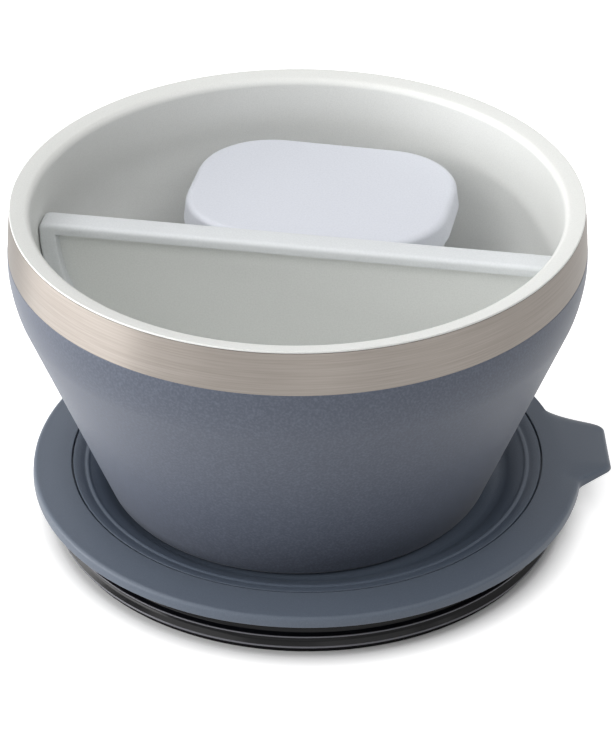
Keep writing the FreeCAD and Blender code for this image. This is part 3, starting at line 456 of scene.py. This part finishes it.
add_grain(pill_metal, srgb(150, 149, 146), 3000, bump=0.3, depth=0.00008, roughness=(0.6, 0.85),
          cloud=0.05)
dress_node("getter", pill_metal)

# ---------------------------------------------------------------------------
# Lid dish: the rigid moulded middle of the lid, in the coat's slate blue. A
# small bead and a soft slope lead down into the recess for the bowl's foot.
# ---------------------------------------------------------------------------
lid_low, lid_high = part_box("lid_dish")
LID_AXIS = ((lid_low[0] + lid_high[0]) / 2, (lid_low[1] + lid_high[1]) / 2)
TONGUE = (lid_high[0] - lid_low[0]) / 2 / MM
CROWN = lid_high[2] / MM
SKIRT_FOOT = lid_low[2] / MM
SKIRT = TONGUE - 4.0
SKIRT_INSIDE = SKIRT - 2.5
SKIRT_ROUND = 0.3
DISH_WALL = 2.4
UNDERSIDE_ROUND = 1.0
GROOVE_INSIDE = SKIRT - 3.7
BRIM = GROOVE_INSIDE - 5.3
BRIM_LEVEL = CROWN - 1.6
SHOULDER, SHOULDER_ROUND = BRIM + 3.4, 1.2
BEAD_WIDTH, BEAD_HEIGHT, BEAD_ROUND = 1.4, 0.5, 0.35
RECESS_FOOT, RECESS_TOP = 67.6, 71.0
RECESS_FOOT_ROUND, RECESS_TOP_ROUND = 2.0, 2.4
RECESS_LEDGE = FOOT_LEVEL + 2.4
TONGUE_LOW, TONGUE_HIGH = CROWN - DISH_WALL - 0.75, CROWN - DISH_WALL + 0.75

dish = outline_wire([
    (0, FOOT_LEVEL, 0),
    (RECESS_FOOT, FOOT_LEVEL, RECESS_FOOT_ROUND),
    (RECESS_TOP, RECESS_LEDGE, RECESS_TOP_ROUND),
    (BRIM - 0.4, BRIM_LEVEL, BEAD_ROUND),
    (BRIM + 0.1, BRIM_LEVEL + BEAD_HEIGHT, BEAD_ROUND),
    (BRIM + BEAD_WIDTH * 0.6, BRIM_LEVEL + BEAD_HEIGHT, BEAD_ROUND),
    (BRIM + BEAD_WIDTH, BRIM_LEVEL + 0.2, 0.4),
    (SHOULDER, CROWN - 0.35, SHOULDER_ROUND),
    (GROOVE_INSIDE, CROWN - 0.1, 0.2),
    (GROOVE_INSIDE + 0.1, TONGUE_HIGH, 0),
    (TONGUE, TONGUE_HIGH, 0),
    (TONGUE, TONGUE_LOW, 0),
    (SKIRT, TONGUE_LOW, 0),
    (SKIRT, SKIRT_FOOT, SKIRT_ROUND),
    (SKIRT_INSIDE, SKIRT_FOOT, SKIRT_ROUND),
    (SKIRT_INSIDE, BRIM_LEVEL - DISH_WALL, UNDERSIDE_ROUND),
    (BRIM + 0.6, BRIM_LEVEL - DISH_WALL, UNDERSIDE_ROUND),
    (RECESS_TOP + 1.0, RECESS_LEDGE - DISH_WALL, UNDERSIDE_ROUND),
    (RECESS_FOOT + 1.2, FOOT_LEVEL - DISH_WALL, UNDERSIDE_ROUND),
    (0, FOOT_LEVEL - DISH_WALL, 0),
], segments=6)
spin_round(dish, LID_AXIS)
LID_SLATE = srgb(80, 89, 102)
lid_satin = new_finish("slate_lid_plastic", LID_SLATE, 0.44, Specular_IOR_Level=0.3)
add_grain(lid_satin, srgb(90, 99, 112), 1900, contrast=(0.4, 0.75), bump=0.12, depth=0.00008,
          roughness=(0.36, 0.5), cloud=0.02)
recessed_dish = smooth_piece("recessed_dish", dish, lid_satin)
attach(recessed_dish, "lid")
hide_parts("lid_dish")

# ---------------------------------------------------------------------------
# Lid flange: soft rubber ring moulded round the dish's tongue, in one with
# the pull tab, which bends down and takes the ring's edge with it.
# ---------------------------------------------------------------------------
FLANGE = 94.2
FLANGE_DEPTH, FLANGE_FALL = 4.3, 0.5
FLANGE_TOP_ROUND, FLANGE_FOOT_ROUND = 1.3, 0.45
FLANGE_STEPS = 720
GROOVE_OUTSIDE, GROOVE_ROUND = GROOVE_INSIDE + 0.55, 0.35
TAB_BEARING = math.radians(15.0)
TAB_END, TAB_END_HALF, TAB_SKEW = 105.2, 14.2, 0.083
TAB_NEAR_SLOPE, TAB_FAR_SLOPE = 1.55, 2.4
TAB_CORNER, TAB_ROOT = 2.4, 1.8
TAB_WALL, TAB_THIN_AFTER = 2.4, 8.0
EDGE_ZONE = 2.2
BEND_START = TONGUE - 0.6
SOFT_STEP = 0.6
HOLLOW, HOLLOW_BEARING, HOLLOW_REACH = 4.0, 36.0, 20.0
DROOP, DROOP_BEARING, DROOP_REACH, DROOP_CURVE = 4.2, 27.0, 38.0, 1.2


def eased_excess(amount, easing):
    """How far an amount is over 0, with the bend at 0 rounded."""
    if amount <= -easing:
        return 0.0
    return amount if amount >= easing else (amount + easing) ** 2 / (4 * easing)


def hump(bearing, middle, reach):
    """A smooth hump, 1 at a bearing and 0 from its reach on, in degrees."""
    return max(0.0, 1.0 - ((bearing - middle) / reach) ** 2) ** 2


flange = outline_wire([
    (GROOVE_OUTSIDE, CROWN, GROOVE_ROUND),
    (SKIRT + 2.0, CROWN - 0.1, 0),
    *((TONGUE + SOFT_STEP * k, CROWN - 0.2 - 0.04 * k, 0) for k in range(7)),
    (FLANGE - 0.3, CROWN - FLANGE_FALL, FLANGE_TOP_ROUND),
    (FLANGE, CROWN - FLANGE_DEPTH, FLANGE_FOOT_ROUND),
    *((TONGUE + SOFT_STEP * k, CROWN - FLANGE_DEPTH, 0) for k in range(6, 0, -1)),
    (SKIRT, CROWN - FLANGE_DEPTH, 0),
    (SKIRT, TONGUE_LOW, 0),
    (TONGUE, TONGUE_LOW, 0),
    (TONGUE, TONGUE_HIGH, 0),
    (GROOVE_OUTSIDE, TONGUE_HIGH, 0),
], segments=7)
spin_round(flange, LID_AXIS, FLANGE_STEPS)
for point in flange.verts:
    across, deep = (point.co.x - LID_AXIS[0]) / MM, (point.co.y - LID_AXIS[1]) / MM
    reach = math.hypot(across, deep)
    if reach < TONGUE + 0.1:
        continue
    bearing = math.atan2(deep, across)
    off_tab = bearing - TAB_BEARING
    soft_share = min((reach - TONGUE) / (FLANGE - EDGE_ZONE - TONGUE), 1.0)
    rim_side, rim_along = FLANGE * math.sin(off_tab), FLANGE * math.cos(off_tab)
    hollow = HOLLOW * hump(math.degrees(bearing), HOLLOW_BEARING, HOLLOW_REACH)
    side_slope = TAB_FAR_SLOPE if rim_side > 0 else TAB_NEAR_SLOPE
    tab_line = (TAB_END + TAB_SKEW * max(min(rim_side, TAB_END_HALF), -TAB_END_HALF)
                - side_slope * eased_excess(abs(rim_side) - TAB_END_HALF, TAB_CORNER))
    longer = eased_excess(tab_line - rim_along + hollow, TAB_ROOT) if rim_along > 0 else 0.0
    sideways = reach * math.sin(off_tab)
    along = reach * math.cos(off_tab) + (longer - hollow) * soft_share
    if point.co.z < (CROWN - FLANGE_DEPTH / 2) * MM:
        thinner = min(longer / TAB_THIN_AFTER, 1.0) * soft_share
        point.co.z += (FLANGE_DEPTH - FLANGE_FALL - TAB_WALL) * MM * thinner
    bend_length = math.hypot(rim_along + longer - hollow, rim_side) - BEND_START
    bend = min(max((math.hypot(along, sideways) - BEND_START) / bend_length, 0.0), 1.0)
    droop = DROOP * hump(math.degrees(bearing), DROOP_BEARING, DROOP_REACH)
    point.co.z -= droop * bend ** DROOP_CURVE * MM
    new_across = along * math.cos(TAB_BEARING) - sideways * math.sin(TAB_BEARING)
    new_deep = along * math.sin(TAB_BEARING) + sideways * math.cos(TAB_BEARING)
    point.co.x = LID_AXIS[0] + new_across * MM
    point.co.y = LID_AXIS[1] + new_deep * MM
lid_soft = new_finish("slate_soft_rubber", LID_SLATE, 0.5, Specular_IOR_Level=0.4, Sheen_Weight=0.1)
add_grain(lid_soft, srgb(89, 98, 111), 2200, contrast=(0.4, 0.75), bump=0.14, depth=0.00008,
          roughness=(0.44, 0.58), cloud=0.02)
soft_flange = smooth_piece("soft_flange", flange, lid_soft)
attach(soft_flange, "lid")
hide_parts("lid_flange")

# ---------------------------------------------------------------------------
# Lid seal: black moulded silicone ring clipped round the lid's skirt. Its two
# ribs bend and grip inside the bowl's mouth; their tips carry a painted highlight.
# ---------------------------------------------------------------------------
SEAL_WALL = SKIRT + 1.8
SEAL_CUFF, CUFF_LEVEL = SKIRT_INSIDE - 1.2, 4.0
SEAL_ROUND = 0.3
UPPER_RIB, LOWER_RIB = 7.0, 2.9
UPPER_REACH, LOWER_REACH = MOUTH + 0.3, MOUTH + 0.35
RIB_TIP, RIB_TIP_ROUND = 0.3, 0.28
UPPER_ROOT, UPPER_ROOT_ROUND = 1.1, 0.5
LOWER_ROOT, LOWER_ROOT_ROUND = 2.0, 0.9
UNDER_RIB = 0.4
# Between these reaches from the lid's axis the rib tips' painted highlight fades in.
TIP_HIGHLIGHT_START, TIP_HIGHLIGHT_FULL = UPPER_REACH - 0.15, UPPER_REACH - 0.02

seal = outline_wire([
    (SKIRT, CROWN - FLANGE_DEPTH, 0),
    (SEAL_WALL, CROWN - FLANGE_DEPTH, 0),
    (SEAL_WALL, UPPER_RIB + UPPER_ROOT, UPPER_ROOT_ROUND),
    (UPPER_REACH, UPPER_RIB + RIB_TIP, RIB_TIP_ROUND),
    (UPPER_REACH, UPPER_RIB - RIB_TIP, RIB_TIP_ROUND),
    (SEAL_WALL, UPPER_RIB - RIB_TIP - UNDER_RIB, SEAL_ROUND),
    (SEAL_WALL, LOWER_RIB + LOWER_ROOT, LOWER_ROOT_ROUND),
    (LOWER_REACH, LOWER_RIB + RIB_TIP, RIB_TIP_ROUND),
    (LOWER_REACH, LOWER_RIB - RIB_TIP, RIB_TIP_ROUND),
    (SEAL_WALL, LOWER_RIB - RIB_TIP - UNDER_RIB, SEAL_ROUND),
    (SEAL_WALL, 0, SEAL_ROUND),
    (SEAL_CUFF, 0, SEAL_ROUND),
    (SEAL_CUFF, CUFF_LEVEL, 0.4),
    (SKIRT_INSIDE, CUFF_LEVEL, 0),
    (SKIRT_INSIDE, SKIRT_FOOT, 0),
    (SKIRT, SKIRT_FOOT, 0),
], segments=6)
spin_round(seal, LID_AXIS)
silicone = new_finish("black_seal_silicone", srgb(7, 7, 10), 0.2, Specular_IOR_Level=0.16)
add_grain(silicone, srgb(15, 15, 19), 1400, contrast=(0.4, 0.8), bump=0.05, depth=0.00005,
          roughness=(0.16, 0.25), cloud=0.1)
# Painted highlight: the rib tips, furthest from the lid's axis, get a lighter grey colour that
# stands in for the lamps' glint on them.
nodes, links = silicone.node_tree.nodes, silicone.node_tree.links
colour_in = shader_of(silicone).inputs["Base Color"]
place = nodes.new("ShaderNodeTexCoord")
in_plan = nodes.new("ShaderNodeVectorMath")
in_plan.operation = "MULTIPLY"
in_plan.inputs[1].default_value = (1, 1, 0)
from_axis = nodes.new("ShaderNodeVectorMath")
from_axis.operation = "DISTANCE"
from_axis.inputs[1].default_value = (*LID_AXIS, 0)
tip_highlight_share = nodes.new("ShaderNodeMapRange")
tip_highlight_share.inputs["From Min"].default_value = TIP_HIGHLIGHT_START * MM
tip_highlight_share.inputs["From Max"].default_value = TIP_HIGHLIGHT_FULL * MM
tip_highlight = nodes.new("ShaderNodeMix")
tip_highlight.data_type = "RGBA"
share_in, black_in, tip_highlight_colour_in = tip_highlight.inputs[0], tip_highlight.inputs[6], tip_highlight.inputs[7]
tip_highlight_colour_in.default_value = srgb(112, 112, 118)
links.new(colour_in.links[0].from_socket, black_in)
links.new(place.outputs["Object"], in_plan.inputs[0])
links.new(in_plan.outputs["Vector"], from_axis.inputs[0])
links.new(from_axis.outputs["Value"], tip_highlight_share.inputs["Value"])
links.new(tip_highlight_share.outputs["Result"], share_in)
links.new(tip_highlight.outputs[2], colour_in)
ribbed_seal = smooth_piece("ribbed_seal", seal, silicone)
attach(ribbed_seal, "lid")
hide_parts("lid_seal")

# ---------------------------------------------------------------------------
# Divider frame: pale grey silicone border moulded round the panel. It is cut
# to the bowl's cross-section, and its soft outer edge bears on the liner.
# ---------------------------------------------------------------------------
frame_low, frame_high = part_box("divider_frame")
DIVIDER_TOP = frame_high[2] / MM
FRAME_HALF = (frame_high[1] - frame_low[1]) / 2 / MM
CLEARANCE = 0.3
BORDER, HEAD = 6.0, 4.0
FRAME_CORNER = 2.4
FRAME_EDGE, WINDOW_EDGE = 1.7, 0.7


def section_face(inset, top, top_corner, depth):
    """A flat outline of the cavity's section, set in, at a depth along the divider's thickness."""
    foot, shoulder = cavity_corners(-inset)
    half = [(MOUTH - inset, top, top_corner), shoulder, foot]
    mirrored = [(-across, up, rounding) for across, up, rounding in reversed(half)]
    shape = outline_wire(half + mirrored, segments=10)
    bmesh.ops.translate(shape, verts=shape.verts, vec=(0, depth * MM, 0))
    return shape


def join_outline(shape, other):
    """Copy another outline into a bmesh and free it."""
    spare = bpy.data.meshes.new("spare_outline")
    other.to_mesh(spare)
    other.free()
    shape.from_mesh(spare)
    bpy.data.meshes.remove(spare)


def raise_faces(shape, faces, rise):
    """Extrude faces by a vector, and return the points of their far end."""
    raised = bmesh.ops.extrude_face_region(shape, geom=faces)
    points = [item for item in raised["geom"] if isinstance(item, bmesh.types.BMVert)]
    bmesh.ops.translate(shape, verts=points, vec=rise)
    return points


def rim_edges(shape, outer):
    """Edges round the outside, or round the window, of a slab's two flat faces."""
    found = []
    for edge in shape.edges:
        if len(edge.link_faces) != 2:
            continue
        flat = [abs(face.normal.y) > 0.99 for face in edge.link_faces]
        if flat[0] == flat[1]:
            continue
        side = edge.link_faces[flat.index(False)]
        middle = (edge.verts[0].co + edge.verts[1].co) / 2
        centre = Vector((0, middle.y, (CAVITY_FLOOR + DIVIDER_TOP) / 2 * MM))
        outwards = side.normal.dot(middle - centre) > 0
        if outwards == outer:
            found.append(edge)
    return found


border = section_face(CLEARANCE, DIVIDER_TOP, FRAME_CORNER, -FRAME_HALF)
window = section_face(CLEARANCE + BORDER, DIVIDER_TOP - HEAD, 0.0, -FRAME_HALF)
join_outline(border, window)
bmesh.ops.triangle_fill(border, edges=border.edges[:], use_beauty=True)
bmesh.ops.dissolve_limit(border, angle_limit=0.001, verts=border.verts, edges=border.edges,
                         delimit={"NORMAL"})
raise_faces(border, border.faces[:], (0, 2 * FRAME_HALF * MM, 0))
bmesh.ops.recalc_face_normals(border, faces=border.faces)
for outer, width, segments in ((True, FRAME_EDGE, 5), (False, WINDOW_EDGE, 3)):
    bmesh.ops.bevel(border, geom=rim_edges(border, outer), offset=width * MM, offset_type="OFFSET",
                    segments=segments, profile=0.5, affect="EDGES", material=-1)
frame_silicone = new_finish("pale_frame_silicone", srgb(222, 225, 227), 0.4)
add_grain(frame_silicone, srgb(214, 217, 219), 1700, contrast=(0.35, 0.75), bump=0.08,
          depth=0.00006, roughness=(0.34, 0.48), cloud=0.012)
soft_border = smooth_piece("soft_border", border, frame_silicone, sharp_over=30)
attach(soft_border, "divider")
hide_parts("divider_frame")

# ---------------------------------------------------------------------------
# Divider panel: thin stiff sheet moulded into the frame's slot. Both of its
# faces are plain.
# ---------------------------------------------------------------------------
PANEL_HALF = (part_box("divider_panel")[1][1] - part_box("divider_panel")[0][1]) / 2 / MM
TONGUE_IN_SLOT = 2.5

panel = section_face(CLEARANCE + BORDER - TONGUE_IN_SLOT, DIVIDER_TOP - HEAD + TONGUE_IN_SLOT, 0.0,
                     -PANEL_HALF)
bmesh.ops.contextual_create(panel, geom=panel.edges[:])
raise_faces(panel, panel.faces[:], (0, 2 * PANEL_HALF * MM, 0))
bmesh.ops.recalc_face_normals(panel, faces=panel.faces)
panel_plastic = new_finish("pale_panel_plastic", srgb(229, 231, 229), 0.42)
add_grain(panel_plastic, srgb(221, 223, 221), 1800, contrast=(0.35, 0.75), bump=0.08,
          depth=0.00006, roughness=(0.36, 0.5), cloud=0.012)
stiff_panel = smooth_piece("stiff_panel", panel, panel_plastic)
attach(stiff_panel, "divider")
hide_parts("divider_panel")

# ---------------------------------------------------------------------------
# Sauce cup: thin moulded cup that hangs wedged in the rear compartment, with
# an upright rim for its lid. Only its lid shows until it is lifted out.
# ---------------------------------------------------------------------------
cup_plastic = new_finish("white_cup_plastic", srgb(222, 224, 230), 0.35)
add_grain(cup_plastic, srgb(212, 215, 222), 1500, contrast=(0.35, 0.75), bump=0.06, depth=0.00006,
          roughness=(0.3, 0.42), cloud=0.015)
dress_node("sauce_cup", cup_plastic)

# ---------------------------------------------------------------------------
# Sauce cup lid: white moulded push-fit cap with large round corners, a softly
# rounded top edge and a skirt that flares a little.
# ---------------------------------------------------------------------------
cap_low, cap_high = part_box("sauce_cup_lid")
CAP_MIDDLE = ((cap_low[0] + cap_high[0]) / 2, (cap_low[1] + cap_high[1]) / 2)
CAP_LENGTH, CAP_WIDTH = 91.6, 68.7
CAP_DEPTH = (cap_high[2] - cap_low[2]) / MM
CAP_CORNER, CAP_EDGE = 26.0, 2.1
CAP_WALL, CAP_FLARE = 1.8, 0.98
CAP_TURN = math.radians(-1.5)


def height_of(face):
    return face.calc_center_median().z


cap = bmesh.new()
bmesh.ops.create_grid(cap, x_segments=1, y_segments=1, size=0.5 * MM)
bmesh.ops.scale(cap, verts=cap.verts, vec=(CAP_LENGTH, CAP_WIDTH, 1))
bmesh.ops.bevel(cap, geom=cap.verts[:], offset=CAP_CORNER * MM, offset_type="OFFSET", segments=18,
                profile=0.5, affect="VERTICES", material=-1)
bmesh.ops.translate(cap, verts=cap.verts, vec=(0, 0, cap_low[2]))
top_points = raise_faces(cap, cap.faces[:], (0, 0, CAP_DEPTH * MM))
bmesh.ops.scale(cap, verts=top_points,
                vec=(1 - 2 * CAP_FLARE / CAP_LENGTH, 1 - 2 * CAP_FLARE / CAP_WIDTH, 1))
bmesh.ops.recalc_face_normals(cap, faces=cap.faces)
underside = min(cap.faces, key=height_of)
bmesh.ops.inset_region(cap, faces=[underside], thickness=CAP_WALL * MM, use_even_offset=True)
raise_faces(cap, [underside], (0, 0, (CAP_DEPTH - CAP_WALL) * MM))
bmesh.ops.delete(cap, geom=[underside], context="FACES_ONLY")
bmesh.ops.bevel(cap, geom=max(cap.faces, key=height_of).edges[:], offset=CAP_EDGE * MM,
                offset_type="OFFSET", segments=6, profile=0.5, affect="EDGES", material=-1)
turned = Matrix.Translation((*CAP_MIDDLE, 0)) @ Matrix.Rotation(CAP_TURN, 4, "Z")
bmesh.ops.transform(cap, matrix=turned, verts=cap.verts)
bmesh.ops.recalc_face_normals(cap, faces=cap.faces)
cap_plastic = new_finish("white_cap_plastic", srgb(217, 220, 228), 0.42)
add_grain(cap_plastic, srgb(210, 213, 221), 1600, contrast=(0.35, 0.75), bump=0.08, depth=0.00006,
          roughness=(0.36, 0.5), cloud=0.012)
white_cap = smooth_piece("white_cap", cap, cap_plastic, sharp_over=30)
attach(white_cap, "cup_lid")
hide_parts("sauce_cup_lid")
